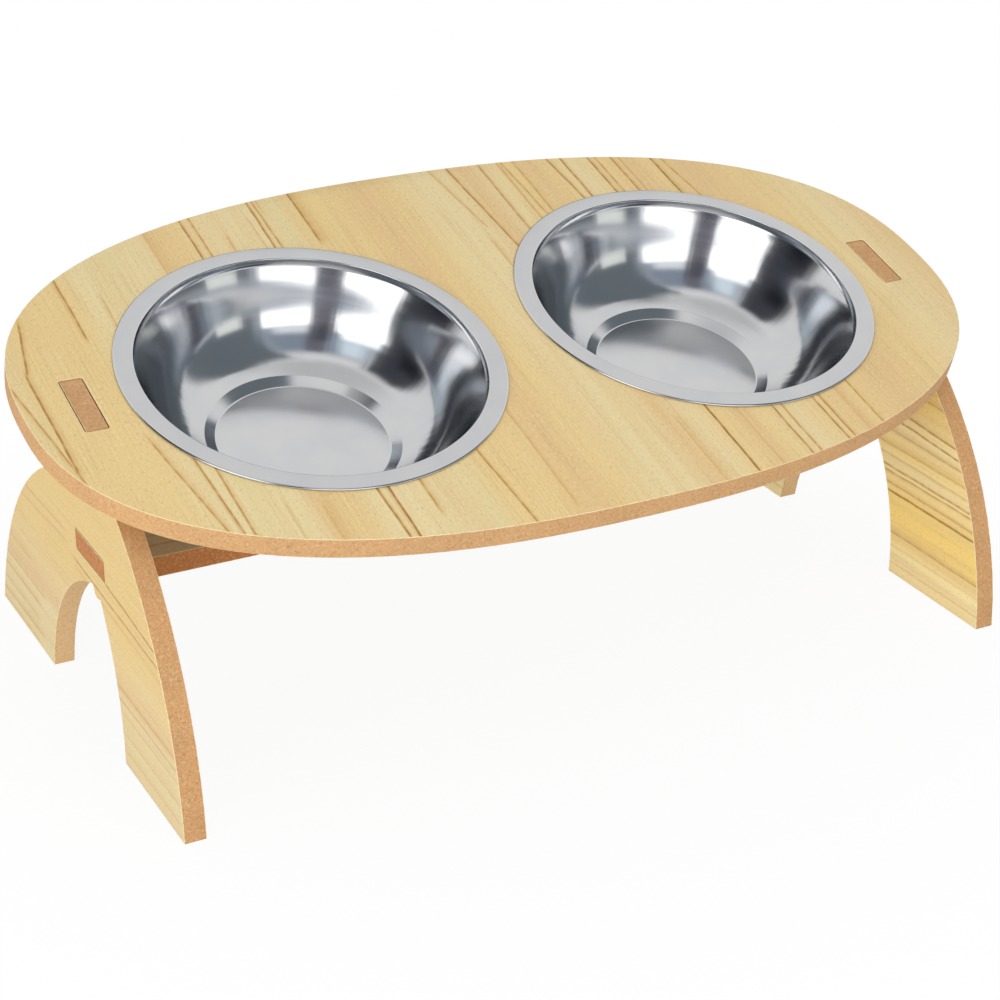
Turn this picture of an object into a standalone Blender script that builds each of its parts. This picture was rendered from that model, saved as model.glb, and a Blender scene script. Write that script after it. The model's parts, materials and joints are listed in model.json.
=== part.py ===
"""Raised feeder for a cat: an oval tabletop on two arched legs and a stretcher, with two steel bowls.

Metres, +Z up. The feeder faces -Y, and its tabletop leans down towards the front. The origin is on
the floor, under the middle of the feeder's box. The boards push together with tenons in slots, and
each bowl hangs by its flange in a round hole.
"""

from math import atan, atan2, cos, pi, radians, sin, tan

import bmesh
import bpy
from mathutils import Matrix, Vector

# Boards, all cut from one sheet
BOARD = 0.009
SLOT_CORNER = 0.001

# Tabletop, whose outline is a superellipse; its middle lies set back from the bowls and slots
TOP_WIDTH = 0.2359
TOP_FULLNESS = 2.42
TOP_SETBACK = 0.0010
TOP_HEIGHT = 0.1403
TOP_TILT = radians(16.4)

# Along the tabletop: between the flanges, from a flange to a leg's face, and from there to the end
FLANGE_TO_FLANGE = 0.0216
FLANGE_TO_LEG = 0.0117
LEG_TO_END = 0.0200

# Legs, drawn in their own plane: back is positive, and zero lies under the bowls' middles
FRONT_TOE = -0.1010
FRONT_HEEL = -0.0365
BACK_HEEL = 0.0528
BACK_TOE = 0.1238
FRONT_SWELL = 0.0180
BACK_SWELL = 0.0132
SEAT_LENGTH = 0.062
SHOULDER_BACK = 0.0450
SHOULDER_DROP = 0.0438
PEAK_BACK = -0.0150
PEAK_DROP = 0.0112
ARCH_FRONT_SWELL = 0.0060
ARCH_BACK_SWELL = 0.0153
PEAK_ROUNDING = 0.0055
TOP_TENON_LENGTH = 0.0318

# Stretcher, which lies flat between the legs
STRETCHER_WIDTH = 0.0440
STRETCHER_TENON = 0.0335
STRETCHER_BACK = -0.0080
BOWL_CLEARANCE = 0.0055

# Bowls, turned from thin sheet, with a curved wall, then a step down to a flat disc.
# The wall's handles say how firmly it holds its draft at the lip and its slope at the floor.
RIM_RADIUS = 0.0800
FLANGE_WIDTH = 0.0092
LIP_ROUNDING = 0.0012
WALL_DRAFT = radians(34)
WALL_HANDLE = 0.0160
FLOOR_SLOPE = radians(10)
FLOOR_HANDLE = 0.0180
BOWL_DEPTH = 0.0380
STEP_DEPTH = 0.0027
STEP_WIDTH = 0.0045
DISC_RADIUS = 0.0365
STEEL = 0.0008

# Clearances
SEAT_GAP = 0.0003
SLOT_CLEARANCE = 0.0005
HOLE_CLEARANCE = 0.0010

# Colour, roughness and metallic value of each finish
FACING = ((0.76, 0.60, 0.34), 0.5, 0)
SHADED_FACING = ((0.72, 0.55, 0.30), 0.5, 0)
POLISHED_STEEL = ((0.62, 0.63, 0.65), 0.25, 1)

# Facets on the round shapes
TOP_STEPS = 128
ARC_STEPS = 12
TURN_STEPS = 64
WALL_STEPS = 9
SMALL_STEPS = 3
PEAK_STEPS = 5
SMOOTH_UNDER = radians(35)

# Places along the tabletop
BOWL_SPACING = 2 * RIM_RADIUS + FLANGE_TO_FLANGE
LEG_SPACING = BOWL_SPACING + 2 * (RIM_RADIUS + FLANGE_TO_LEG) + BOARD
TOP_LENGTH = LEG_SPACING + BOARD + 2 * LEG_TO_END

# The ends of the bowl's wall inside, as radius and height over the tabletop
OPENING_RADIUS = RIM_RADIUS - FLANGE_WIDTH
WALL_TOP = (OPENING_RADIUS, SEAT_GAP + STEEL - LIP_ROUNDING * (1 - sin(WALL_DRAFT)))
WALL_FOOT = (DISC_RADIUS + STEP_WIDTH, -BOWL_DEPTH)

# Heights under the tilted bowls, whose lowest point is the front of the disc's edge
DISC_UNDERSIDE = -BOWL_DEPTH - STEP_DEPTH - STEEL
BOWL_LOWEST = TOP_HEIGHT - DISC_RADIUS * sin(TOP_TILT) + DISC_UNDERSIDE * cos(TOP_TILT)
STRETCHER_HEIGHT = BOWL_LOWEST - BOWL_CLEARANCE - BOARD / 2
SHOULDER = (SHOULDER_BACK, TOP_HEIGHT - SHOULDER_DROP)
ARCH_PEAK = (PEAK_BACK, STRETCHER_HEIGHT - PEAK_DROP)

# The feeder's box, from which its origin is worked out
FRONT_EDGE = (TOP_SETBACK - TOP_WIDTH / 2) * cos(TOP_TILT)
BACK_EDGE = (TOP_SETBACK + TOP_WIDTH / 2) * cos(TOP_TILT) + BOARD * sin(TOP_TILT)
MIDDLE = (min(FRONT_EDGE, FRONT_TOE) + max(BACK_EDGE, BACK_TOE)) / 2


def clear_scene():
    for thing in list(bpy.data.objects):
        bpy.data.objects.remove(thing)


def finish(name, colour, roughness, metallic):
    """A plain Principled material."""
    made = bpy.data.materials.new(name)
    made.use_nodes = True
    shader = made.node_tree.nodes["Principled BSDF"]
    shader.inputs["Base Color"].default_value = (*colour, 1)
    shader.inputs["Roughness"].default_value = roughness
    shader.inputs["Metallic"].default_value = metallic
    return made


def place(name, mesh, location=(0, 0, 0), rotation=(0, 0, 0), parent=None):
    piece = bpy.data.objects.new(name, mesh)
    bpy.context.scene.collection.objects.link(piece)
    piece.location = location
    piece.rotation_euler = rotation
    piece.parent = parent
    return piece


def arc(start, end, rise, steps=ARC_STEPS):
    """Points from start to end on a circle that rises to the left of its chord, or right if negative."""
    start, end = Vector(start), Vector(end)
    chord = end - start
    half_turn = 2 * atan(2 * rise / chord.length)
    radius = chord.length / (2 * sin(half_turn))
    left = Vector((-chord.y, chord.x)).normalized()
    centre = (start + end) / 2 + left * (rise - radius)
    turn = -2 * half_turn / steps
    return [centre + Matrix.Rotation(turn * i, 2) @ (start - centre) for i in range(steps + 1)]


def heading(direction):
    return atan2(direction.y, direction.x)


def rectangle(length, width, centre=(0, 0), rounding=0.0):
    """A rectangle's outline, with rounded corners where rounding is given."""
    x, y = length / 2 - rounding, width / 2 - rounding
    corners = [(x, y), (-x, y), (-x, -y), (x, -y)]
    points = []
    for quarter, corner in enumerate(corners):
        for i in range(SMALL_STEPS + 1 if rounding else 1):
            angle = (quarter + i / SMALL_STEPS) * pi / 2
            points.append(Vector(centre) + Vector(corner) + rounding * Vector((cos(angle), sin(angle))))
    return points


def prism(outline, bottom, top):
    """An open bmesh with the outline raised from bottom to top."""
    made = bmesh.new()
    face = made.faces.new([made.verts.new((p.x, p.y, bottom)) for p in outline])
    raised = bmesh.ops.extrude_face_region(made, geom=[face])["geom"]
    moved = [item for item in raised if isinstance(item, bmesh.types.BMVert)]
    bmesh.ops.translate(made, vec=(0, 0, top - bottom), verts=moved)
    return made


def mesh_of(made, name, material=None):
    """The bmesh as a mesh with its normals outward, smooth on its round sides."""
    bmesh.ops.recalc_face_normals(made, faces=made.faces)
    mesh = bpy.data.meshes.new(name)
    made.to_mesh(mesh)
    made.free()
    if material:
        mesh.materials.append(material)
    mesh.shade_smooth()
    mesh.set_sharp_from_angle(angle=SMOOTH_UNDER)
    return mesh


def cut(piece, name, outline):
    """Cuts the outline right through a board."""
    cutter = place(name, mesh_of(prism(outline, -2 * BOARD, 2 * BOARD), name), parent=piece)
    cutter.hide_render = True
    cutter.display_type = "WIRE"
    modifier = piece.modifiers.new(name, "BOOLEAN")
    modifier.operation = "DIFFERENCE"
    modifier.solver = "EXACT"
    modifier.object = cutter


def top_outline():
    points = []
    for i in range(TOP_STEPS):
        angle = 2 * pi * i / TOP_STEPS
        x, y = cos(angle), sin(angle)
        reach = (abs(x) ** TOP_FULLNESS + abs(y) ** TOP_FULLNESS) ** (-1 / TOP_FULLNESS)
        points.append(Vector((TOP_LENGTH / 2 * x * reach, TOP_SETBACK + TOP_WIDTH / 2 * y * reach)))
    return points


def under_top(along, depth):
    """A point of the leg's plane, so far along the tabletop's slope and so deep under its upper face."""
    back = along * cos(TOP_TILT) + depth * sin(TOP_TILT)
    up = TOP_HEIGHT + along * sin(TOP_TILT) - depth * cos(TOP_TILT)
    return Vector((back, up))


def leg_outline():
    """From the front toe over the seat and its tenon to the back toe, then back through the arch."""
    half_seat, half_tenon = SEAT_LENGTH / 2, TOP_TENON_LENGTH / 2
    seat = BOARD + SEAT_GAP
    front_toe, back_toe = Vector((FRONT_TOE, 0)), Vector((BACK_TOE, 0))
    shoulder, seat_back = Vector(SHOULDER), under_top(half_seat, seat)
    points = arc(front_toe, under_top(-half_seat, seat), FRONT_SWELL)
    points += [under_top(-half_tenon, seat), under_top(-half_tenon, SEAT_GAP)]
    points += [under_top(half_tenon, SEAT_GAP), under_top(half_tenon, seat)]
    # The hollow behind the seat runs smoothly into the back curve
    drop, hollow = back_toe - shoulder, shoulder - seat_back
    start = heading(drop) + 2 * atan(2 * BACK_SWELL / drop.length)
    hollow_rise = hollow.length / 2 * tan((heading(hollow) - start) / 2)
    points += arc(seat_back, shoulder, hollow_rise)
    points += arc(shoulder, back_toe, BACK_SWELL)[1:]
    points += arc((BACK_HEEL, 0), ARCH_PEAK, -ARCH_BACK_SWELL)
    points += arc(ARCH_PEAK, (FRONT_HEEL, 0), -ARCH_FRONT_SWELL)[1:]
    return points


def round_peak(leg):
    """Rounds the arch where its two curves meet."""
    peak = Vector(ARCH_PEAK)
    edges = [e for e in leg.edges if all((v.co.xy - peak).length < SEAT_GAP for v in e.verts)]
    bmesh.ops.bevel(leg, geom=edges, offset=PEAK_ROUNDING, segments=PEAK_STEPS, affect="EDGES")


def stretcher_outline():
    """The stretcher from above, with a tenon at each end that is flush with the leg's outer face."""
    shoulder = (LEG_SPACING - BOARD) / 2 - SEAT_GAP
    end = (LEG_SPACING + BOARD) / 2
    body, tenon = STRETCHER_WIDTH / 2, STRETCHER_TENON / 2
    right = [(shoulder, -body), (shoulder, -tenon), (end, -tenon)]
    right += [(end, tenon), (shoulder, tenon), (shoulder, body)]
    left = [(-x, -y) for x, y in right]
    return [Vector(p) for p in right + left]


def bowl_wall(thickness):
    """The wall from step to lip, set outward by a thickness, as (radius, height over the tabletop)."""
    foot, top = Vector(WALL_FOOT), Vector(WALL_TOP)
    low = foot + FLOOR_HANDLE * Vector((cos(FLOOR_SLOPE), sin(FLOOR_SLOPE)))
    high = top - WALL_HANDLE * Vector((sin(WALL_DRAFT), cos(WALL_DRAFT)))
    points = []
    for i in range(WALL_STEPS + 1):
        t = i / WALL_STEPS
        first, second, third = foot.lerp(low, t), low.lerp(high, t), high.lerp(top, t)
        start, end = first.lerp(second, t), second.lerp(third, t)
        run = (end - start).normalized()
        points.append(tuple(start.lerp(end, t) + thickness * Vector((run.y, -run.x))))
    return points


def bowl_section():
    """Half the bowl's section as (radius, height over the tabletop), from the middle out and back again."""
    disc = -BOWL_DEPTH - STEP_DEPTH
    inside = [(0, disc), (DISC_RADIUS, disc)] + bowl_wall(0)
    lip_middle = (OPENING_RADIUS + LIP_ROUNDING * cos(WALL_DRAFT), SEAT_GAP + STEEL - LIP_ROUNDING)
    turn = [WALL_DRAFT + (pi / 2 - WALL_DRAFT) * (i + 1) / SMALL_STEPS for i in range(SMALL_STEPS)]
    lip = [(lip_middle[0] - LIP_ROUNDING * cos(a), lip_middle[1] + LIP_ROUNDING * sin(a)) for a in turn]
    quarter = [pi / 2 * i / SMALL_STEPS for i in range(SMALL_STEPS + 1)]
    edge = [(RIM_RADIUS - STEEL * (1 - sin(a)), SEAT_GAP + STEEL * cos(a)) for a in quarter]
    outside = bowl_wall(STEEL)
    outside_top = outside[-1][0] + (SEAT_GAP - outside[-1][1]) * tan(WALL_DRAFT)
    under = [(outside_top, SEAT_GAP)] + outside[::-1]
    under += [(DISC_RADIUS, DISC_UNDERSIDE), (0, DISC_UNDERSIDE)]
    return inside + lip + edge + under


def turned(section):
    """A bmesh of the section turned about Z; the section starts and ends on the axis."""
    made = bmesh.new()
    rings = []
    for radius, height in section[1:-1]:
        angles = [2 * pi * i / TURN_STEPS for i in range(TURN_STEPS)]
        rings.append([made.verts.new((radius * cos(a), radius * sin(a), height)) for a in angles])
    for inner, outer in zip(rings, rings[1:]):
        for i in range(TURN_STEPS):
            j = (i + 1) % TURN_STEPS
            made.faces.new((inner[i], inner[j], outer[j], outer[i]))
    made.faces.new(rings[0])
    made.faces.new(rings[-1])
    return made


def add_tabletop():
    mesh = mesh_of(prism(top_outline(), -BOARD, 0), "tabletop", finish("tabletop", *FACING))
    top = place("tabletop", mesh, location=(0, -MIDDLE, TOP_HEIGHT), rotation=(TOP_TILT, 0, 0))
    hole = OPENING_RADIUS + STEEL + HOLE_CLEARANCE
    angles = [2 * pi * i / TURN_STEPS for i in range(TURN_STEPS)]
    for side, x in (("left", -1), ("right", 1)):
        centre = Vector((x * BOWL_SPACING / 2, 0))
        cut(top, side + "_bowl_hole", [centre + hole * Vector((cos(a), sin(a))) for a in angles])
        slot = (BOARD + 2 * SLOT_CLEARANCE, TOP_TENON_LENGTH + 2 * SLOT_CLEARANCE)
        cut(top, side + "_leg_slot", rectangle(*slot, (x * LEG_SPACING / 2, 0), SLOT_CORNER))
    return top


def add_legs():
    made = prism(leg_outline(), -BOARD / 2, BOARD / 2)
    round_peak(made)
    mesh = mesh_of(made, "leg", finish("leg", *FACING))
    for side, x in (("left", -1), ("right", 1)):
        # The leg's plane stands up: its x points to the back, its y up
        leg = place(side + "_leg", mesh, (x * LEG_SPACING / 2, -MIDDLE, 0), (pi / 2, 0, pi / 2))
        slot = (STRETCHER_TENON + 2 * SLOT_CLEARANCE, BOARD + 2 * SLOT_CLEARANCE)
        cut(leg, side + "_stretcher_slot", rectangle(*slot, (STRETCHER_BACK, STRETCHER_HEIGHT), SLOT_CORNER))


def add_stretcher():
    made = prism(stretcher_outline(), -BOARD / 2, BOARD / 2)
    mesh = mesh_of(made, "stretcher", finish("stretcher", *SHADED_FACING))
    place("stretcher", mesh, location=(0, STRETCHER_BACK - MIDDLE, STRETCHER_HEIGHT))


def add_bowls(top):
    mesh = mesh_of(turned(bowl_section()), "bowl", finish("bowl", *POLISHED_STEEL))
    for side, x in (("left", -1), ("right", 1)):
        place(side + "_bowl", mesh, location=(x * BOWL_SPACING / 2, 0, 0), parent=top)


clear_scene()
add_legs()
add_stretcher()
add_bowls(add_tabletop())
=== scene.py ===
"""Looks of the raised cat feeder: wood-grain boards with raw edges, and bowls of polished steel.

Metres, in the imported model's frame. Each piece has its own local frame: a board's grain runs along
its local Y and its faces look along its local Z, and a bowl stands on its local Z.
"""

import json
from math import cos, pi, radians, sin, tan

import bmesh
import bpy
from mathutils import Matrix, Vector


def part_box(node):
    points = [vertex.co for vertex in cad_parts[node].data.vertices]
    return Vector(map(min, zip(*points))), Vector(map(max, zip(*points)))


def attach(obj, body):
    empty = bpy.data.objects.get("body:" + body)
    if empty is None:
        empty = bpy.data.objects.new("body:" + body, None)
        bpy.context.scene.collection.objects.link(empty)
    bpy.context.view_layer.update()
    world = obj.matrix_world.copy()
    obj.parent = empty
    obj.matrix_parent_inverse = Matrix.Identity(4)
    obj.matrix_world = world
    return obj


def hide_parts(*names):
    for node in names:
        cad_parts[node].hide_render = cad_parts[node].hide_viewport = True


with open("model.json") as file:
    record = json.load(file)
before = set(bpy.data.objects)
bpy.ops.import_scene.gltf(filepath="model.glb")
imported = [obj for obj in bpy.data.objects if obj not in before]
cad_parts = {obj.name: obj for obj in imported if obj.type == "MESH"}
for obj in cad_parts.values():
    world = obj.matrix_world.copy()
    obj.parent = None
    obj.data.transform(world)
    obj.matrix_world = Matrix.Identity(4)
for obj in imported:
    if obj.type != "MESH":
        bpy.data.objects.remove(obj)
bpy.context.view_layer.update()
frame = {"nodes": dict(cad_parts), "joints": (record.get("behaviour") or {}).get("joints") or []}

MM = 0.001

# Boards
ARRIS = 0.22 * MM
ARRIS_STEPS = 2
SHARP_OVER = radians(20)
WELD = 0.01 * MM
FLAT_UNDER = radians(0.05)
FACE_OVER = 0.99

# Grain: how far the lines wander, in mm, the tones over which a growth line takes its halo's
# colour and then its own, and the gloss of the film and the raw edge
SWAY = 1.5
RIPPLE = 0.7
HALO_OVER = (0.0, 0.5)
STREAK_OVER = (0.4, 0.95)
FILM_IOR = 1.46
FILM_ROUGHNESS = 0.42
FILM_UNEVENNESS = 0.12
FIBRE_IOR = 1.4
FIBRE_ROUGHNESS = 0.85
CLOUD_SHADE = 0.93
# Painted light on the legs' raw edge: lighter behind these mm along and below these mm of height,
# inside the arched cut
ARCH_LIGHT_BEHIND = (-62.0, -52.0)
ARCH_LIGHT_BELOW = (100.0, 85.0)

# Bowls, turned from thin sheet. Heights count from the flange's upper face, which stands
# FLANGE_RISE over the tabletop. A ring of points holds the flange's flat, FLAT_RING inside the rim.
STEEL = 0.8 * MM
FLANGE_WIDTH = 8.4 * MM
FLANGE_RISE = 1.1 * MM
FLAT_RING = 4.0 * MM
LIP_ROUNDING = 0.6 * MM
LIP_STRAIGHT = 2.3 * MM
WALL_DRAFT = radians(32)
WALL_HANDLE = 16.0 * MM
FLOOR_SLOPE = radians(10)
FLOOR_HANDLE = 21.0 * MM
BOWL_DEPTH = 38.0 * MM
STEP_DEPTH = 2.7 * MM
STEP_WIDTH = 4.5 * MM
STEP_ROUNDING = 1.6 * MM
DISC_RADIUS = 36.5 * MM
WALL_STEPS = 40
TURN_STEPS = 192
BOWL_SHARP_OVER = radians(50)
WAVES_ROUND = 9.0
WAVES_FROM = (42.0, 52.0)
STEEL_DARK = (0.585, 0.59, 0.60, 1.0)
STEEL_LIGHT = (0.62, 0.62, 0.625, 1.0)

# Camera
CAMERA_PLACE = (-0.43666, -0.80738, 0.49264)
CAMERA_PAN = 0.4947
CAMERA_TILT = 0.4429
CAMERA_ROLL = 0.0128
LENS_OVER_WIDTH = 2.32448
SENSOR = 36.0


def srgb(red, green, blue):
    """The scene's linear colour of an 8-bit one."""
    def linear(value):
        return value / 12.92 if value <= 0.04045 else ((value + 0.055) / 1.055) ** 2.4

    return (linear(red / 255), linear(green / 255), linear(blue / 255), 1.0)


# Colours of the facing, of the raw fibreboard and of the paper's cut edge
PALE = srgb(230, 210, 157)
GREENISH = srgb(226, 207, 151)
YELLOW = srgb(230, 201, 137)
TAN = srgb(224, 190, 132)
# Painted shade: a greyer tone of the facing for the stretcher, which lies in the tabletop's shade
GREY_PAINTED_SHADE = srgb(214, 192, 160)
GOLD = srgb(228, 196, 120)
# Tones for the right leg: its print's yellow, made brighter as painted light
LIT_AMBER = srgb(253, 222, 142)
LIT_STRAW = srgb(255, 221, 126)
LIT_IVORY = srgb(255, 236, 176)
STREAK = srgb(138, 94, 30)
HALO = srgb(206, 162, 90)
PORE = srgb(178, 140, 82)
FIBREBOARD = srgb(214, 168, 116)
FIBREBOARD_LEG = srgb(204, 156, 105)
# Painted light: a lighter raw edge inside the legs' arched cut
FIBREBOARD_ARCH_PAINTED_LIGHT = srgb(236, 200, 150)
FIBREBOARD_STRETCHER = srgb(194, 124, 67)
FIBRE_DARK = srgb(160, 104, 58)
FIBRE_LIGHT = srgb(236, 200, 154)
PAPER = srgb(242, 226, 180)
PAPER_WORN = srgb(226, 196, 146)

# Tones of each board as (mm across the grain, colour)
TOP_TONES = [
    (-212, GREENISH), (-198, YELLOW), (-172, YELLOW), (-160, PALE), (-146, GREENISH), (-128, PALE),
    (-124, TAN), (-112, YELLOW), (-100, PALE), (-78, PALE), (-62, GREENISH), (-52, YELLOW),
    (-36, YELLOW), (-20, TAN), (-8, YELLOW), (8, PALE), (22, PALE), (34, TAN), (44, PALE),
    (56, YELLOW), (68, TAN), (74, YELLOW), (88, PALE), (104, YELLOW), (116, TAN), (122, YELLOW),
    (140, TAN), (165, YELLOW), (190, PALE), (212, TAN),
]
LEFT_LEG_TONES = [
    (0, PALE), (14, GREENISH), (28, PALE), (34, TAN), (46, YELLOW), (62, GOLD), (78, GOLD),
    (100, GOLD), (125, GOLD),
]
# The right leg's inner face: its print's tones, all brightened by painted light
RIGHT_LEG_TONES_PAINTED_LIGHT = [
    (0, LIT_IVORY), (12, LIT_IVORY), (19, LIT_AMBER), (24, LIT_STRAW), (38, LIT_STRAW), (44, LIT_AMBER), (54, LIT_IVORY),
    (62, LIT_AMBER), (72, LIT_IVORY), (84, LIT_AMBER), (100, LIT_STRAW), (125, LIT_AMBER),
]
# The stretcher's tones, with painted shade greying most of it
STRETCHER_TONES = [
    (-22, GREY_PAINTED_SHADE), (-8, YELLOW), (4, GREY_PAINTED_SHADE), (22, GREY_PAINTED_SHADE),
]

# Growth lines as (mm across, lean in mm per 100 mm along, fade in mm, depth, from and to mm along).
# A positive fade runs on from the line, and a negative one runs up to it.
TOP_LINES = [
    (-208, -14, -3, 0.6, -60, 22), (-202.2, 0, 4, 0.85, -45, 28), (-206.2, 20, 4, 0.8, 17, 62),
    (-172, 0, -3, 0.75, 34, 100), (-158.5, 2, -3, 0.4, 20, 70), (-175, -16, 4, 0.6, -100, -22),
    (-160.5, -5, -3, 0.7, -105, -26), (-152.5, 0, 3, 0.65, -105, -28),
    (-135.5, 0, 3, 0.25, -110, -70), (-125, 0, 7, 0.35, 60, 110), (-122, 0, 8, 0.4, -115, -75),
    (-107, 0, 3, 0.8, 45, 125), (-102.5, 0, -3, 0.6, 45, 125), (-95.5, 5, -3, 0.4, 50, 98),
    (-101, -3, 3, 0.85, -125, -60), (-94, 0, -3, 0.95, -125, -60), (-80.5, 0, 5, 0.65, -104, -55),
    (-77.5, 0, -3, 0.3, 60, 108), (-75.7, 2, 3, 0.8, 50, 125), (-71, 0, 3, 0.6, 50, 125),
    (-69, 0, -4, 0.35, 100, 125), (-55.7, -7, 3, 0.7, -125, -55), (-53, 0, 9, 0.85, 74, 125),
    (-28, 0, 3, 0.4, -115, -36), (33, -13, 3, 0.45, 66, 125), (34.7, -7, 3, 0.8, 20, 125),
    (21.3, 0, 5, 0.4, 36, 66), (42.4, 0, 3, 0.65, 40, 125), (37.5, 0, 8, 0.35, -125, -70),
    (51.9, 0, 2, 0.5, 45, 125), (59.8, -5, -3, 0.55, 45, 125), (59.8, 0, 4, 0.55, 45, 125),
    (53.8, 0, 2, 1.0, -125, -55), (66, 0, -4, 0.25, -120, -60), (84.6, -7, 3, 0.8, 45, 125),
    (83.4, 0, 3, 0.8, 45, 125), (81.7, 0, -2, 0.75, -125, -60), (86, 0, 3, 0.6, -125, -60),
    (96.6, 0, 4, 0.85, 40, 125), (100.4, 0, -2, 0.6, 40, 125), (102, 0, 2, 0.8, -120, -55),
    (105.5, 0, 3, 0.75, -120, -55), (107.9, 0, 3, 0.75, 40, 125), (111.8, 0, -2, 0.45, 40, 125),
    (114.8, 0, 6, 0.3, -115, -55), (122.8, 0, 3, 0.65, -115, -50), (126.9, 0, 4, 1.0, 30, 125),
    (141, -9, 3, 0.6, 30, 125),
]
LEFT_LEG_LINES = [
    (78, 8, 2, 0.8, -120, -25), (69.3, 4, -2, 0.7, -120, 12), (66, 6, -3, 0.3, -120, 10),
    (78, -3, 2, 0.35, 12, 110), (74, -6, -3, 0.3, 12, 110), (34.4, 0, 4, 0.5, -120, -20),
    (29.3, 0, -4, 0.45, -120, -20), (24, 0, 4, 0.25, -120, -20), (15, 0, 4, 0.3, -120, -20),
    (6.8, 0, 3, 0.25, -120, -20), (29, 0, 9, 0.45, 48, 130), (22.3, 0, 8, 0.45, 55, 130),
    (14, 0, 8, 0.35, 60, 130), (7.3, 0, 6, 0.45, 55, 130), (40, 0, 12, 0.3, 66, 130),
    (2, 0, 5, 0.3, 62, 130),
]
RIGHT_LEG_LINES = [
    (94, 4, 4, 0.45, -120, 20), (82, 6, 3, 0.65, -120, 40), (77.5, 6, 2, 0.6, -120, 40),
    (70, 2, 3, 0.4, -120, 40), (62, 0, 5, 0.35, -120, 40), (57, 0, -3, 0.3, -120, 40),
    (51.6, 0, 2, 0.55, -120, 130), (48.6, -1, -3, 0.5, -120, 130), (43.7, 0, 3, 0.45, -120, 130),
    (39.8, 0, 2, 0.9, -120, 130), (21, 1, 6, 0.5, -120, 130), (14, 0, 4, 0.2, -120, 130),
    (5.5, 0, 3, 0.25, -120, 130),
]
STRETCHER_LINES = [
    (-9, 1, 4, 0.6, -200, 200), (2, -1, -5, 0.5, -200, 200), (13, 0.5, 3, 0.6, -200, 200),
]


class Nodes:
    """Adds nodes to a tree and links them.

    An input may be a number, a colour or another node's output.
    """

    def __init__(self, tree):
        self.tree = tree

    def add(self, kind, settings=None, **inputs):
        made = self.tree.nodes.new("ShaderNode" + kind)
        for name, value in (settings or {}).items():
            setattr(made, name, value)
        for name, value in inputs.items():
            self.set(made, name.replace("_", " "), value)
        return made

    def set(self, node, socket, value):
        target = node.inputs[socket]
        if isinstance(value, bpy.types.NodeSocket):
            self.tree.links.new(value, target)
        else:
            target.default_value = value

    def math(self, operation, *values, clamp=False):
        made = self.tree.nodes.new("ShaderNodeMath")
        made.operation, made.use_clamp = operation, clamp
        for i, value in enumerate(values):
            self.set(made, i, value)
        return made.outputs[0]

    def ramp(self, value, low, high, soft=True):
        """0 below low, 1 above high, or the other way round where low is the larger."""
        made = self.tree.nodes.new("ShaderNodeMapRange")
        made.interpolation_type = "SMOOTHSTEP" if soft else "LINEAR"
        for name, number in (("Value", value), ("From Min", low), ("From Max", high)):
            self.set(made, name, number)
        return made.outputs[0]

    def noise(self, vector, scale=1.0, detail=2.0, roughness=0.5):
        made = self.add("TexNoise", Vector=vector, Scale=scale, Detail=detail, Roughness=roughness)
        return made.outputs["Fac"]

    def mix(self, factor, first, second, blend="MIX"):
        made = self.tree.nodes.new("ShaderNodeMix")
        made.data_type, made.blend_type = "RGBA", blend
        for index, value in ((0, factor), (6, first), (7, second)):
            self.set(made, index, value)
        return made.outputs[2]

    def vector(self, x, y, z=0.0):
        return self.add("CombineXYZ", X=x, Y=y, Z=z).outputs[0]


def material(name):
    made = bpy.data.materials.new(name)
    made.use_nodes = True
    made.node_tree.nodes.clear()
    return made, Nodes(made.node_tree)


def finish_material(nodes, **inputs):
    """Closes a material with a Principled shader."""
    shader = nodes.add("BsdfPrincipled", **inputs)
    output = nodes.add("OutputMaterial")
    nodes.tree.links.new(shader.outputs[0], output.inputs["Surface"])
    return shader


def millimetres(nodes):
    """The piece's local coordinates in mm."""
    place = nodes.add("TexCoord").outputs["Object"]
    scaled = nodes.add("VectorMath", {"operation": "SCALE"}, Vector=place, Scale=1 / MM).outputs[0]
    split = nodes.add("SeparateXYZ", Vector=scaled)
    return scaled, split.outputs["X"], split.outputs["Y"], split.outputs["Z"]


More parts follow.
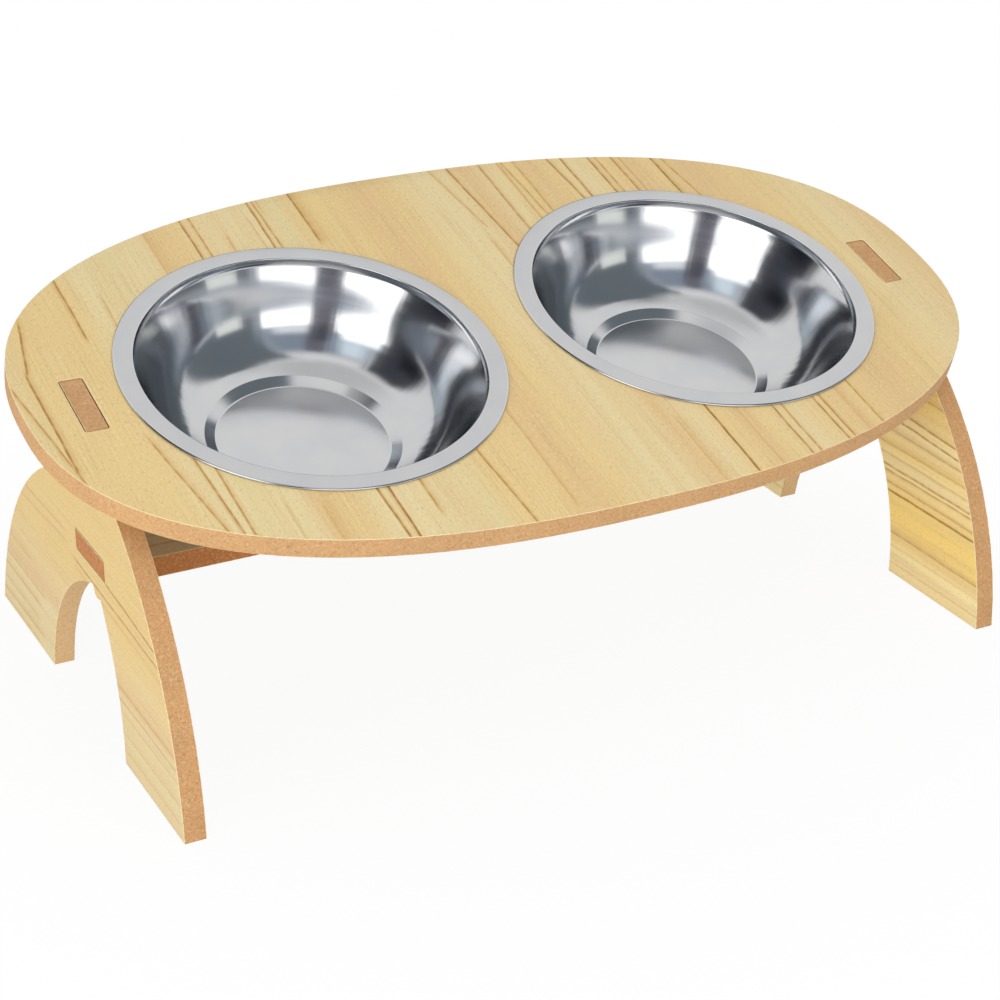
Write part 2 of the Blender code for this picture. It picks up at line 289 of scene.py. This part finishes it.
def growth_line_group():
    """A shared group with the tone of one growth line: a crisp line that fades to one side."""
    tree = bpy.data.node_groups.new("growth_line", "ShaderNodeTree")
    names = ("Across", "Along", "Place", "Lean", "Fade", "Depth", "From", "To")
    for name in names:
        tree.interface.new_socket(name, in_out="INPUT", socket_type="NodeSocketFloat")
    tree.interface.new_socket("Tone", in_out="OUTPUT", socket_type="NodeSocketFloat")
    nodes = Nodes(tree)
    given = tree.nodes.new("NodeGroupInput").outputs
    core_width, line_width, line_share = 0.15, 0.9, 0.9
    fade_power, fade_share, fade_edge = 2.2, 0.55, 0.02
    patch_length, patch_shift, patch_range, faintest_patch = 28.0, 3.7, (0.25, 0.65), 0.7
    end_softness = 9.0
    place = nodes.math("MULTIPLY_ADD", given["Along"], given["Lean"], given["Place"])
    offset = nodes.math("SUBTRACT", given["Across"], place)
    line = nodes.ramp(nodes.math("ABSOLUTE", offset), line_width, core_width)
    reach = nodes.math("DIVIDE", offset, given["Fade"])
    fade = nodes.math("POWER", nodes.math("SUBTRACT", 1.0, reach, clamp=True), fade_power)
    fade = nodes.math("MULTIPLY", fade, nodes.ramp(reach, -fade_edge, fade_edge))
    patch = nodes.math("DIVIDE", given["Along"], patch_length)
    patch = nodes.math("MULTIPLY_ADD", given["Place"], patch_shift, patch)
    uneven = nodes.add("TexNoise", {"noise_dimensions": "1D"}, W=patch, Detail=1.0).outputs["Fac"]
    uneven = nodes.ramp(uneven, *patch_range)
    fade, line = nodes.math("MULTIPLY", fade, fade_share), nodes.math("MULTIPLY", line, line_share)
    uneven = nodes.math("MULTIPLY_ADD", uneven, 1 - faintest_patch, faintest_patch)
    tone = nodes.math("MULTIPLY", nodes.math("MAXIMUM", fade, line), uneven)
    begun = nodes.ramp(nodes.math("SUBTRACT", given["Along"], given["From"]), 0.0, end_softness)
    ended = nodes.ramp(nodes.math("SUBTRACT", given["To"], given["Along"]), 0.0, end_softness)
    kept = nodes.math("MULTIPLY", begun, ended)
    tone = nodes.math("MULTIPLY", nodes.math("MULTIPLY", tone, given["Depth"]), kept)
    result = tree.nodes.new("NodeGroupOutput")
    tree.links.new(tone, result.inputs["Tone"])
    return tree


def stretched_noise(nodes, across, along, across_scale, along_scale, detail=2.0):
    """Noise drawn out along the grain; the scales count per mm."""
    across = nodes.math("MULTIPLY", across, across_scale)
    along = nodes.math("MULTIPLY", along, along_scale)
    return nodes.noise(nodes.vector(across, along), detail=detail)


def shared(nodes, colour, share, low, high, value, other):
    """A colour with a share of another where a value passes from low to high."""
    return nodes.mix(nodes.math("MULTIPLY", nodes.ramp(value, low, high), share), colour, other)


def facing_material(name, tones, lines, line_group):
    """Printed wood grain: broad tones across the grain, fine fibres, pores and growth lines."""
    made, nodes = material(name)
    _, across, along, _ = millimetres(nodes)
    sway = stretched_noise(nodes, across, along, 0.012, 0.014)
    ripple = stretched_noise(nodes, across, along, 0.05, 0.09)
    bent = nodes.math("MULTIPLY_ADD", nodes.math("SUBTRACT", sway, 0.5), SWAY, across)
    bent = nodes.math("MULTIPLY_ADD", nodes.math("SUBTRACT", ripple, 0.5), RIPPLE, bent)

    lowest, highest = tones[0][0], tones[-1][0]
    ramp = nodes.add("ValToRGB", Fac=nodes.ramp(bent, lowest, highest, soft=False))
    stops = ramp.color_ramp.elements
    while len(stops) < len(tones):
        stops.new(0.5)
    for stop, (place, colour) in zip(stops, tones):
        stop.position = (place - lowest) / (highest - lowest)
        stop.color = colour
    colour = ramp.outputs["Color"]

    broad = stretched_noise(nodes, bent, along, 0.16, 0.006)
    fibre = stretched_noise(nodes, bent, along, 1.1, 0.02, detail=4.0)
    grain = stretched_noise(nodes, across, along, 2.2, 0.5, detail=3.0)
    for value, low, high, share, other in (
            (broad, 0.40, 0.70, 0.40, TAN), (fibre, 0.52, 0.80, 0.22, STREAK),
            (fibre, 0.48, 0.25, 0.25, PAPER), (grain, 0.58, 0.70, 0.50, PORE),
            (grain, 0.42, 0.30, 0.60, PAPER)):
        colour = shared(nodes, colour, share, low, high, value, other)

    tone = 0.0
    for place, lean, fade, strength, start, end in lines:
        group = nodes.tree.nodes.new("ShaderNodeGroup")
        group.node_tree = line_group
        given = {
            "Across": bent, "Along": along, "Place": float(place), "Lean": lean / 100,
            "Fade": float(fade), "Depth": strength, "From": float(start), "To": float(end),
        }
        for socket, value in given.items():
            nodes.set(group, socket, value)
        tone = nodes.math("MAXIMUM", tone, group.outputs["Tone"])
    colour = nodes.mix(nodes.ramp(tone, *HALO_OVER, soft=False), colour, HALO)
    colour = nodes.mix(nodes.ramp(tone, *STREAK_OVER, soft=False), colour, STREAK)

    bump = nodes.add("Bump", {"invert": True}, Strength=0.3, Distance=0.08 * MM, Height=grain)
    roughness = nodes.math("MULTIPLY_ADD", fibre, FILM_UNEVENNESS, FILM_ROUGHNESS)
    finish_material(
        nodes, Base_Color=colour, Roughness=roughness, Normal=bump.outputs[0], IOR=FILM_IOR)
    return made


def fibreboard_material(name, base, arch_light=None):
    """A raw cut edge: fibres with light and dark flecks and, as painted light, a lighter tone inside
    each leg's arched cut.
    """
    made, nodes = material(name)
    place, height, along, _ = millimetres(nodes)
    cloud = nodes.noise(place, scale=0.06, detail=2.0)
    fine = nodes.noise(place, scale=2.3, detail=4.0, roughness=0.7)
    flecks = nodes.noise(place, scale=0.9, detail=3.0, roughness=0.65)
    clouded = tuple(CLOUD_SHADE * v for v in base[:3]) + (1.0,)
    colour = nodes.mix(nodes.ramp(cloud, 0.35, 0.7), base, clouded)
    if arch_light:
        # Painted light: the raw edge lighter inside the legs' arched cut, behind the front foot and
        # below the seat
        behind_front = nodes.ramp(along, *ARCH_LIGHT_BEHIND)
        below_seat = nodes.ramp(height, *ARCH_LIGHT_BELOW)
        colour = nodes.mix(nodes.math("MULTIPLY", behind_front, below_seat), colour, arch_light)
    for speckle, share in ((flecks, 0.5), (fine, 0.7)):
        colour = shared(nodes, colour, share, 0.52, 0.72, speckle, FIBRE_DARK)
        colour = shared(nodes, colour, share, 0.48, 0.28, speckle, FIBRE_LIGHT)
    bump = nodes.add("Bump", Strength=0.35, Distance=0.12 * MM, Height=fine)
    finish_material(
        nodes, Base_Color=colour, Roughness=FIBRE_ROUGHNESS, Normal=bump.outputs[0], IOR=FIBRE_IOR)
    return made


def paper_edge_material():
    made, nodes = material("paper_edge")
    place, _, _, _ = millimetres(nodes)
    worn = nodes.noise(place, scale=0.5, detail=3.0)
    colour = nodes.mix(nodes.ramp(worn, 0.4, 0.7), PAPER, PAPER_WORN)
    finish_material(nodes, Base_Color=colour, Roughness=0.5)
    return made


def steel_material(name, roughness, rings, ring_depth, waves):
    """Steel with fine turning marks round the bowl's axis and faint waves in the drawn sheet."""
    made, nodes = material(name)
    place, x, y, z = millimetres(nodes)
    square = nodes.math("ADD", nodes.math("MULTIPLY", x, x), nodes.math("MULTIPLY", y, y))
    radius = nodes.math("SQRT", square)
    spoke_x, spoke_y = nodes.math("DIVIDE", x, radius), nodes.math("DIVIDE", y, radius)
    climb = nodes.math("ADD", radius, nodes.math("MULTIPLY", z, -1.0))
    turned = nodes.vector(nodes.math("MULTIPLY", climb, rings), spoke_x, spoke_y)
    marks = nodes.noise(turned, detail=3.0)
    around = nodes.vector(
        nodes.math("MULTIPLY", spoke_x, WAVES_ROUND), nodes.math("MULTIPLY", spoke_y, WAVES_ROUND),
        nodes.math("MULTIPLY", climb, 0.03))
    swell = nodes.math("MULTIPLY", nodes.noise(around), nodes.ramp(radius, *WAVES_FROM))
    smudge = nodes.noise(place, scale=0.05, detail=3.0)
    tint = nodes.mix(nodes.ramp(smudge, 0.3, 0.7), STEEL_DARK, STEEL_LIGHT)
    rough = nodes.math("MULTIPLY_ADD", marks, 0.07, roughness)
    fine = nodes.add("Bump", Strength=ring_depth, Distance=0.01 * MM, Height=marks)
    bump = nodes.add(
        "Bump", Strength=waves, Distance=0.25 * MM, Height=swell, Normal=fine.outputs[0])
    finish_material(nodes, Base_Color=tint, Metallic=1.0, Roughness=rough, Normal=bump.outputs[0])
    return made


def link(name, mesh, place):
    made = bpy.data.objects.new(name, mesh)
    bpy.context.scene.collection.objects.link(made)
    made.matrix_world = place
    return made


def local_frame(origin, x, y):
    """A matrix whose columns are two axes, their cross product and the origin."""
    z = Vector(x).cross(Vector(y))
    made = Matrix((Vector(x), Vector(y), z)).transposed().to_4x4()
    made.translation = origin
    return made


# The tabletop's normal, along which it lifts off, and its upward slope
LIFT = Vector(next(j["axis"] for j in frame["joints"] if j["name"] == "tabletop_lift")).normalized()
SLOPE = Vector((0, LIFT.z, -LIFT.y))


def bowl_top(node):
    """Where a bowl's axis leaves its flange's upper face, and the flange's radius."""
    points = [v.co for v in frame["nodes"][node].data.vertices]
    low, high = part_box(node)
    along = [p.dot(SLOPE) for p in points]
    centre = Vector(((low.x + high.x) / 2, 0, 0)) + SLOPE * (min(along) + max(along)) / 2
    return centre + LIFT * max(p.dot(LIFT) for p in points), (high.x - low.x) / 2


def board(node, body, place, facing, raw_edge, paper_edge):
    """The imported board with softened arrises, its faces covered and its cut edges raw."""
    made = bmesh.new()
    made.from_mesh(frame["nodes"][node].data)
    bmesh.ops.remove_doubles(made, verts=made.verts, dist=WELD)
    bmesh.ops.dissolve_limit(made, angle_limit=FLAT_UNDER, verts=made.verts, edges=made.edges)
    made.transform(place.inverted())
    made.normal_update()

    def is_face(face):
        return abs(face.normal.z) > FACE_OVER

    def is_arris(edge):
        return len(edge.link_faces) == 2 and sum(map(is_face, edge.link_faces)) == 1

    arrises = [edge for edge in made.edges if is_arris(edge)]
    cut = bmesh.ops.bevel(
        made, geom=arrises, offset=ARRIS, segments=ARRIS_STEPS, affect="EDGES", profile=0.5)
    softened = set(cut["faces"])
    for face in made.faces:
        face.smooth = True
        face.material_index = 2 if face in softened else 0 if is_face(face) else 1
    mesh = bpy.data.meshes.new(node + "_board")
    made.to_mesh(mesh)
    made.free()
    mesh.set_sharp_from_angle(angle=SHARP_OVER)
    for item in (facing, raw_edge, paper_edge):
        mesh.materials.append(item)
    piece = link(node + "_board", mesh, place)
    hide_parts(node)
    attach(piece, body)
    return piece


def arc(centre, radius, start, end, steps):
    angles = [start + (end - start) * i / steps for i in range(steps + 1)]
    return [(centre[0] + radius * cos(a), centre[1] + radius * sin(a)) for a in angles]


def rounded(before, corner, after, radius, steps=6):
    """An arc in place of the corner between two straight runs."""
    before, corner, after = Vector(before), Vector(corner), Vector(after)
    back, on = (before - corner).normalized(), (after - corner).normalized()
    half = back.angle(on) / 2
    middle = corner + (back + on).normalized() * radius / sin(half)
    start = corner + back * radius / tan(half) - middle
    end = corner + on * radius / tan(half) - middle
    turn = start.angle_signed(end)
    return [tuple(middle + Matrix.Rotation(-turn * i / steps, 2) @ start) for i in range(steps + 1)]


def wall(foot, top, thickness):
    """The bowl's wall from foot to lip on one smooth curve, set outward by a thickness."""
    low = foot + FLOOR_HANDLE * Vector((cos(FLOOR_SLOPE), sin(FLOOR_SLOPE)))
    high = top - WALL_HANDLE * Vector((sin(WALL_DRAFT), cos(WALL_DRAFT)))
    points = []
    for i in range(WALL_STEPS + 1):
        t = i / WALL_STEPS
        first, second, third = foot.lerp(low, t), low.lerp(high, t), high.lerp(top, t)
        start, end = first.lerp(second, t), second.lerp(third, t)
        run = (end - start).normalized()
        points.append(tuple(start.lerp(end, t) + thickness * Vector((run.y, -run.x))))
    return points


def bowl_sections(rim):
    """The half-section as lists of (radius, height): inside, flange with its edge, underside."""
    opening = rim - FLANGE_WIDTH
    disc = -FLANGE_RISE - BOWL_DEPTH - STEP_DEPTH
    foot = Vector((DISC_RADIUS + STEP_WIDTH, disc + STEP_DEPTH))
    top = Vector((opening, -LIP_ROUNDING - LIP_STRAIGHT))
    slope = wall(foot, top, 0)
    edge = (DISC_RADIUS, disc)
    inside = [(0, disc), (DISC_RADIUS / 2, disc)] + rounded((0, disc), edge, foot, STEP_ROUNDING)
    inside += rounded(edge, foot, slope[3], STEP_ROUNDING) + slope[4:]
    inside += arc((opening + LIP_ROUNDING, -LIP_ROUNDING), LIP_ROUNDING, pi, pi / 2, 8)
    flange = [(rim - FLAT_RING, 0)] + arc((rim - STEEL, -STEEL), STEEL, pi / 2, 0, 6)
    outside = wall(foot, top, STEEL)
    under = [(rim - 0.5 * STEEL, -STEEL), (opening + STEEL, -STEEL)] + outside[::-1]
    under += [(DISC_RADIUS, disc - STEEL), (0, disc - STEEL)]
    return inside, flange, under


def bowl(node, body, polished, satin):
    """The bowl turned as one closed shell, polished inside and on its edge and satin elsewhere."""
    centre, rim = bowl_top(node)
    inside, flange, under = bowl_sections(rim)
    section = inside + flange + under
    edge_start, edge_end = len(inside), len(inside) + len(flange) - 2
    polished_bands = set(range(len(inside) - 2)) | set(range(edge_start, edge_end))
    made = bmesh.new()
    rings = []
    for radius, height in section[1:-1]:
        turns = [2 * pi * i / TURN_STEPS for i in range(TURN_STEPS)]
        rings.append([made.verts.new((radius * cos(t), radius * sin(t), height)) for t in turns])
    hubs = [made.verts.new((0, 0, section[0][1])), made.verts.new((0, 0, section[-1][1]))]
    for band, (inner, outer) in enumerate(zip(rings, rings[1:])):
        for i in range(TURN_STEPS):
            j = (i + 1) % TURN_STEPS
            face = made.faces.new((inner[i], inner[j], outer[j], outer[i]))
            face.material_index = 0 if band in polished_bands else 1
    for hub, ring, index in ((hubs[0], rings[0], 0), (hubs[1], rings[-1], 1)):
        for i in range(TURN_STEPS):
            made.faces.new((hub, ring[i], ring[(i + 1) % TURN_STEPS])).material_index = index
    bmesh.ops.recalc_face_normals(made, faces=made.faces)
    mesh = bpy.data.meshes.new(node + "_shell")
    made.to_mesh(mesh)
    made.free()
    mesh.shade_smooth()
    mesh.set_sharp_from_angle(angle=BOWL_SHARP_OVER)
    mesh.materials.append(polished)
    mesh.materials.append(satin)
    piece = link(node + "_shell", mesh, local_frame(centre, (1, 0, 0), SLOPE))
    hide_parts(node)
    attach(piece, body)
    return piece


def build_feeder():
    lines = growth_line_group()
    top_face = facing_material("grain_tabletop", TOP_TONES, TOP_LINES, lines)
    left_face = facing_material("grain_left_leg", LEFT_LEG_TONES, LEFT_LEG_LINES, lines)
    right_face = facing_material("grain_right_leg", RIGHT_LEG_TONES_PAINTED_LIGHT, RIGHT_LEG_LINES, lines)
    stretcher_face = facing_material("grain_stretcher", STRETCHER_TONES, STRETCHER_LINES, lines)
    paper_edge = paper_edge_material()
    top_edge = fibreboard_material("raw_fibreboard_tabletop", FIBREBOARD)
    leg_edge = fibreboard_material("raw_fibreboard_legs", FIBREBOARD_LEG, FIBREBOARD_ARCH_PAINTED_LIGHT)
    stretcher_edge = fibreboard_material("raw_fibreboard_stretcher", FIBREBOARD_STRETCHER)
    polished = steel_material(
        "polished_steel", roughness=0.10, rings=1.5, ring_depth=0.2, waves=0.25)
    satin = steel_material("satin_steel", roughness=0.30, rings=3.0, ring_depth=0.5, waves=0.0)

    left, _ = bowl_top("left_bowl")
    right, _ = bowl_top("right_bowl")
    middle = (left + right) / 2 - LIFT * FLANGE_RISE
    place = local_frame(middle, (1, 0, 0), SLOPE)
    board("tabletop", "tabletop", place, top_face, top_edge, paper_edge)
    for node, facing in (("left_leg", left_face), ("right_leg", right_face)):
        low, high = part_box(node)
        origin = Vector(((low.x + high.x) / 2, 0, 0))
        place = local_frame(origin, (0, 0, 1), (0, 1, 0))
        board(node, "stand", place, facing, leg_edge, paper_edge)
    low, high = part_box("stretcher")
    place = local_frame((low + high) / 2, (0, -1, 0), (1, 0, 0))
    board("stretcher", "stand", place, stretcher_face, stretcher_edge, paper_edge)
    bowl("left_bowl", "left_bowl", polished, satin)
    bowl("right_bowl", "right_bowl", polished, satin)


AIM = Vector((0, 0, 0.13))


def toward(azimuth, elevation, distance):
    """A point round the feeder: azimuth 0 is behind it and 90 to its right."""
    a, e = radians(azimuth), radians(elevation)
    return AIM + distance * Vector((sin(a) * cos(e), cos(a) * cos(e), sin(e)))


def facing_aim(place):
    turned = (AIM - place).to_track_quat("-Z", "Y").to_matrix().to_4x4()
    turned.translation = place
    return turned


def lamp(name, azimuth, elevation, distance, size, radiance):
    """A soft box that lights the feeder; its mirror image is left to the surroundings."""
    light = bpy.data.lights.new(name, "AREA")
    light.shape, light.size, light.size_y = "RECTANGLE", *size
    light.energy = radiance * pi * size[0] * size[1]
    made = bpy.data.objects.new(name, light)
    bpy.context.scene.collection.objects.link(made)
    made.matrix_world = facing_aim(toward(azimuth, elevation, distance))
    made.visible_glossy = False
    made.visible_camera = False
    return made


# What the steel mirrors, as (name, azimuth, elevation, half width, half height, softness, lean,
# colour). Angles are degrees, the lean is degrees of azimuth per degree of elevation, and later
# ones lie over earlier ones.
SURROUNDINGS = [
    ("right_wall", 131, 33, 36, 36, 7, 0, (0.18, 0.215, 0.24)),
    ("front_wall", 206, 16, 41, 42, 9, 0, (0.32, 0.38, 0.47)),
    ("left_wall", -86, 33, 24, 35, 7, 0, (0.06, 0.065, 0.08)),
    ("left_corner", -78, 26, 12, 10, 9, 0, (0.015, 0.018, 0.025)),
    ("left_high_window", -128, 42, 11, 14, 8, 0, (0.95, 1.1, 1.2)),
    ("left_upper_window", -122, 23, 15, 5, 4, 0, (1.9, 2.0, 2.1)),
    ("left_window", -122, 11.3, 19, 8.2, 2.0, 0, (2.5, 2.5, 2.5)),
    ("front_upper_window", 190, 18, 15, 5, 5, 0, (1.1, 1.15, 1.2)),
    ("front_window", 186, 5.8, 18, 7.2, 2.0, 0, (2.4, 2.4, 2.4)),
    ("small_window", 144, 1.5, 10, 6, 1.5, 0, (1.1, 1.15, 1.1)),
    ("dark_post", -153, 22, 8, 34, 4, -0.25, (0.19, 0.18, 0.22)),
    ("dark_block", -151, 23, 6, 12, 5, -0.25, (0.09, 0.09, 0.11)),
    ("back_wall", 14, 20, 26, 14, 7, 0, (0.12, 0.12, 0.13)),
    ("ceiling", 0, 96, 180, 22, 7, 0, (0.70, 0.71, 0.72)),
]
BACKDROP = (0.98, 0.98, 0.98)
ROOM_RADIUS = 3.0

# Lamps as (name, azimuth, elevation, distance, size, radiance), and the even light from all sides
LAMPS = [
    ("window_left", -122, 7, 1.7, (1.4, 0.9), 3.4),
    ("window_front", 178, 25, 1.1, (0.65, 0.6), 1.1),
    ("overhead", 175, 65, 1.2, (0.95, 0.95), 1.25),
]
AMBIENT = 0.55

# The floor: its grey in the light, the share of plain white over it by the feeder, the metres over
# which that share grows to all of it, and what metal mirrors far out on it
FLOOR_PAPER = (0.92, 0.92, 0.92, 1.0)
WHITE = (1.0, 1.0, 1.0, 1.0)
WHITE_SHARE = 0.92
WHITE_FROM = (0.16, 0.36)
FAR_FLOOR = (0.34, 0.40, 0.48, 1.0)
FAR_FROM = (1.0, 2.2)
FLOOR_RADIUS = 8.0


def surroundings_material():
    """Soft windows and walls, placed by direction."""
    made, nodes = material("surroundings")
    place = nodes.add("TexCoord").outputs["Object"]
    toward_it = nodes.add("VectorMath", {"operation": "NORMALIZE"}, Vector=place).outputs[0]
    split = nodes.add("SeparateXYZ", Vector=toward_it)
    azimuth = nodes.math("DEGREES", nodes.math("ARCTAN2", split.outputs["X"], split.outputs["Y"]))
    elevation = nodes.math("DEGREES", nodes.math("ARCSINE", split.outputs["Z"]))
    colour = (*BACKDROP, 1)
    for _, middle, height, half_width, half_height, soft, lean, paint in SURROUNDINGS:
        up = nodes.math("SUBTRACT", elevation, height)
        aside = nodes.math("SUBTRACT", azimuth, nodes.math("MULTIPLY_ADD", up, lean, middle))
        aside = nodes.math("ABSOLUTE", nodes.math("WRAP", aside, 180.0, -180.0))
        across = nodes.ramp(aside, half_width + soft, half_width - soft)
        over = nodes.ramp(nodes.math("ABSOLUTE", up), half_height + soft, half_height - soft)
        colour = nodes.mix(nodes.math("MULTIPLY", across, over), colour, (*paint, 1))
    glow = nodes.add("Emission", Color=colour, Strength=1.0)
    output = nodes.add("OutputMaterial")
    nodes.tree.links.new(glow.outputs[0], output.inputs["Surface"])
    return made


def build_surroundings():
    """A room that only metal and gloss show."""
    ball = bmesh.new()
    bmesh.ops.create_uvsphere(ball, u_segments=48, v_segments=24, radius=ROOM_RADIUS)
    mesh = bpy.data.meshes.new("surroundings")
    ball.to_mesh(mesh)
    ball.free()
    mesh.materials.append(surroundings_material())
    room = bpy.data.objects.new("surroundings", mesh)
    bpy.context.scene.collection.objects.link(room)
    room.location = AIM
    room.visible_camera = room.visible_diffuse = room.visible_shadow = False
    room.visible_transmission = room.visible_volume_scatter = False


def seen_directly(nodes):
    """1 for what the camera, metal or glass sees, and 0 for what only lights the feeder."""
    path = nodes.add("LightPath").outputs
    seen = nodes.math("MAXIMUM", path["Is Camera Ray"], path["Is Glossy Ray"])
    return nodes.math("MAXIMUM", seen, path["Is Transmission Ray"])


def build_studio():
    scene = bpy.context.scene
    scene.view_settings.view_transform = "Standard"
    world = bpy.data.worlds.new("studio")
    scene.world = world
    world.use_nodes = True
    world.node_tree.nodes.clear()
    nodes = Nodes(world.node_tree)
    seen = seen_directly(nodes)
    strength = nodes.math("MULTIPLY_ADD", seen, 1.0 - AMBIENT, AMBIENT)
    background = nodes.add("Background", Color=WHITE, Strength=strength)
    output = nodes.add("OutputWorld")
    nodes.tree.links.new(background.outputs[0], output.inputs["Surface"])

    for given in LAMPS:
        lamp(*given)


def build_floor():
    """A white floor that keeps the feeder's shadow near it and runs out to plain white."""
    made, nodes = material("floor")
    place = nodes.add("TexCoord").outputs["Object"]
    far = nodes.add("VectorMath", {"operation": "LENGTH"}, Vector=place).outputs["Value"]
    paper = nodes.add("BsdfDiffuse", Color=FLOOR_PAPER)
    mirrored = nodes.add("LightPath").outputs["Is Glossy Ray"]
    distant = nodes.math("MULTIPLY", mirrored, nodes.ramp(far, *FAR_FROM))
    glow = nodes.add("Emission", Color=nodes.mix(distant, WHITE, FAR_FLOOR), Strength=1.0)
    reach = nodes.math("MULTIPLY_ADD", nodes.ramp(far, *WHITE_FROM), 1 - WHITE_SHARE, WHITE_SHARE)
    mixed = nodes.add("MixShader", Fac=nodes.math("MULTIPLY", seen_directly(nodes), reach))
    nodes.tree.links.new(paper.outputs[0], mixed.inputs[1])
    nodes.tree.links.new(glow.outputs[0], mixed.inputs[2])
    output = nodes.add("OutputMaterial")
    nodes.tree.links.new(mixed.outputs[0], output.inputs["Surface"])
    sheet = bmesh.new()
    bmesh.ops.create_circle(sheet, cap_ends=True, segments=96, radius=FLOOR_RADIUS)
    mesh = bpy.data.meshes.new("floor")
    sheet.to_mesh(mesh)
    sheet.free()
    mesh.materials.append(made)
    floor = bpy.data.objects.new("floor", mesh)
    bpy.context.scene.collection.objects.link(floor)


def build_camera():
    """The photograph's view, solved from the bowls' rims and the tabletop's outline."""
    data = bpy.data.cameras.new("camera")
    data.sensor_width = SENSOR
    data.lens = LENS_OVER_WIDTH * SENSOR
    data.clip_start, data.clip_end = 0.01, 50
    camera = bpy.data.objects.new("camera", data)
    bpy.context.scene.collection.objects.link(camera)
    pan = Matrix.Rotation(-CAMERA_PAN, 4, "Z")
    tilt = Matrix.Rotation(pi / 2 - CAMERA_TILT, 4, "X")
    roll = Matrix.Rotation(CAMERA_ROLL, 4, "Z")
    camera.matrix_world = Matrix.Translation(CAMERA_PLACE) @ pan @ tilt @ roll
    bpy.context.scene.camera = camera


build_feeder()
build_floor()
build_studio()
build_surroundings()
build_camera()
